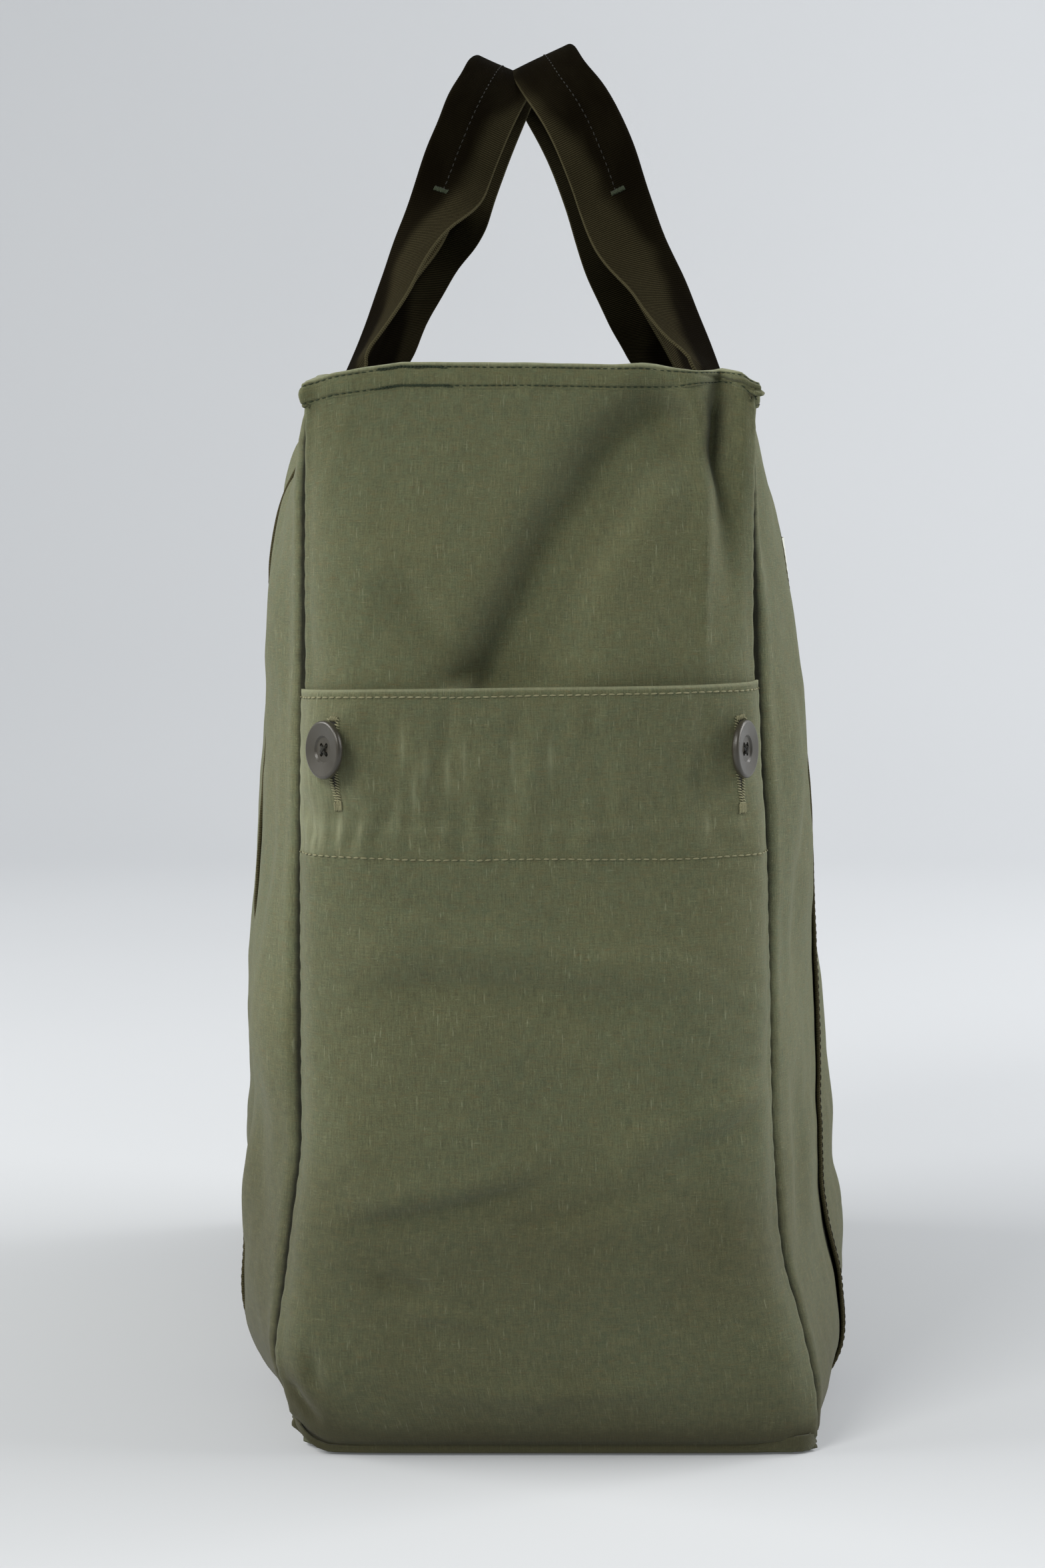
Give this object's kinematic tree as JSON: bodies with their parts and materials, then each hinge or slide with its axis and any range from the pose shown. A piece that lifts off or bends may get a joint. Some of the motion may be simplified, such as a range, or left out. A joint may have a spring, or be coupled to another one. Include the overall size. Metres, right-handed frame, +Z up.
{
  "type": "canvas tote bag",
  "caption": "Open-topped canvas tote bag with a flat base, buttoned end pockets, webbing side straps and webbing carrying handles.",
  "frame": {"origin": "on the floor, under the middle of the bag's outer box", "axes": "+Z up; X across the narrow ends; the front end with its pocket faces -Y"},
  "size_m": [0.2884, 0.492, 0.6182],
  "materials": {
    "canvas": "slubbed olive plain weave, washed and worn",
    "binding": "olive cotton tape",
    "webbing": "dark brown-olive ribbed webbing",
    "button": "brown-grey, semi-gloss",
    "button_thread": "dark waxed thread",
    "pocket_thread": "pale khaki cotton thread",
    "bartack_thread": "green thread",
    "label": "off-white woven tape, bare"
  },
  "bodies": {
    "bag": {"bottom_binding": "binding", "bottom_panel": "canvas", "button_shank_front_left": "button_thread", "button_shank_front_right": "button_thread", "button_shank_rear_left": "button_thread", "button_shank_rear_right": "button_thread", "buttonhole_front_left": "pocket_thread", "buttonhole_front_right": "pocket_thread", "buttonhole_rear_left": "pocket_thread", "buttonhole_rear_right": "pocket_thread", "end_panel_front": "canvas", "end_panel_rear": "canvas", "pocket_facing_front": "canvas", "pocket_facing_rear": "canvas", "pocket_front": "canvas", "pocket_rear": "canvas", "rim_hem_front": "canvas", "rim_hem_left": "canvas", "rim_hem_rear": "canvas", "rim_hem_right": "canvas", "seam_binding_front_left": "binding", "seam_binding_front_right": "binding", "seam_binding_rear_left": "binding", "seam_binding_rear_right": "binding", "side_panel_left": "canvas", "side_panel_right": "canvas", "side_strap_left_front": "webbing", "side_strap_left_rear": "webbing", "side_strap_right_front": "webbing", "side_strap_right_rear": "webbing"},
    "handle_left": {"grip_bartacks_left": "bartack_thread", "handle_grip_left": "webbing", "handle_leg_left_front": "webbing", "handle_leg_left_rear": "webbing"},
    "handle_right": {"grip_bartacks_right": "bartack_thread", "handle_grip_right": "webbing", "handle_leg_right_front": "webbing", "handle_leg_right_rear": "webbing"},
    "button_front_left": {"button_front_left": "button", "button_thread_front_left": "button_thread"},
    "button_front_right": {"button_front_right": "button", "button_thread_front_right": "button_thread"},
    "button_rear_left": {"button_rear_left": "button", "button_thread_rear_left": "button_thread"},
    "button_rear_right": {"button_rear_right": "button", "button_thread_rear_right": "button_thread"},
    "label": {"label_tag": "label"}
  },
  "joints": [
    {"name": "handle_left_swing", "type": "hinge", "parent": "bag", "child": "handle_left", "pos_m": [-0.09708, 0, 0.454], "axis": [0, -1, 0], "range_deg": [0, 160]},
    {"name": "handle_right_swing", "type": "hinge", "parent": "bag", "child": "handle_right", "pos_m": [0.08404, 0, 0.454], "axis": [0, 1, 0], "range_deg": [0, 160]},
    {"name": "button_front_left_turn", "type": "hinge", "parent": "bag", "child": "button_front_left", "pos_m": [-0.08904, -0.23309, 0.29706], "axis": [-0.7876, -0.6154, 0.0304], "range_deg": [-90, 90]},
    {"name": "button_front_right_turn", "type": "hinge", "parent": "bag", "child": "button_front_right", "pos_m": [0.08056, -0.22811, 0.29705], "axis": [0.9061, -0.4226, 0.0209], "range_deg": [-90, 90]},
    {"name": "button_rear_left_turn", "type": "hinge", "parent": "bag", "child": "button_rear_left", "pos_m": [-0.08904, 0.23309, 0.29706], "axis": [-0.7876, 0.6154, 0.0304], "range_deg": [-90, 90]},
    {"name": "button_rear_right_turn", "type": "hinge", "parent": "bag", "child": "button_rear_right", "pos_m": [0.08056, 0.22811, 0.29705], "axis": [0.9061, 0.4226, 0.0209], "range_deg": [-90, 90]},
    {"name": "label_flap", "type": "hinge", "parent": "bag", "child": "label", "pos_m": [0.11647, -0.045, 0.355], "axis": [-0.1542, 0, 0.988], "range_deg": [-130, 6]}
  ]
}
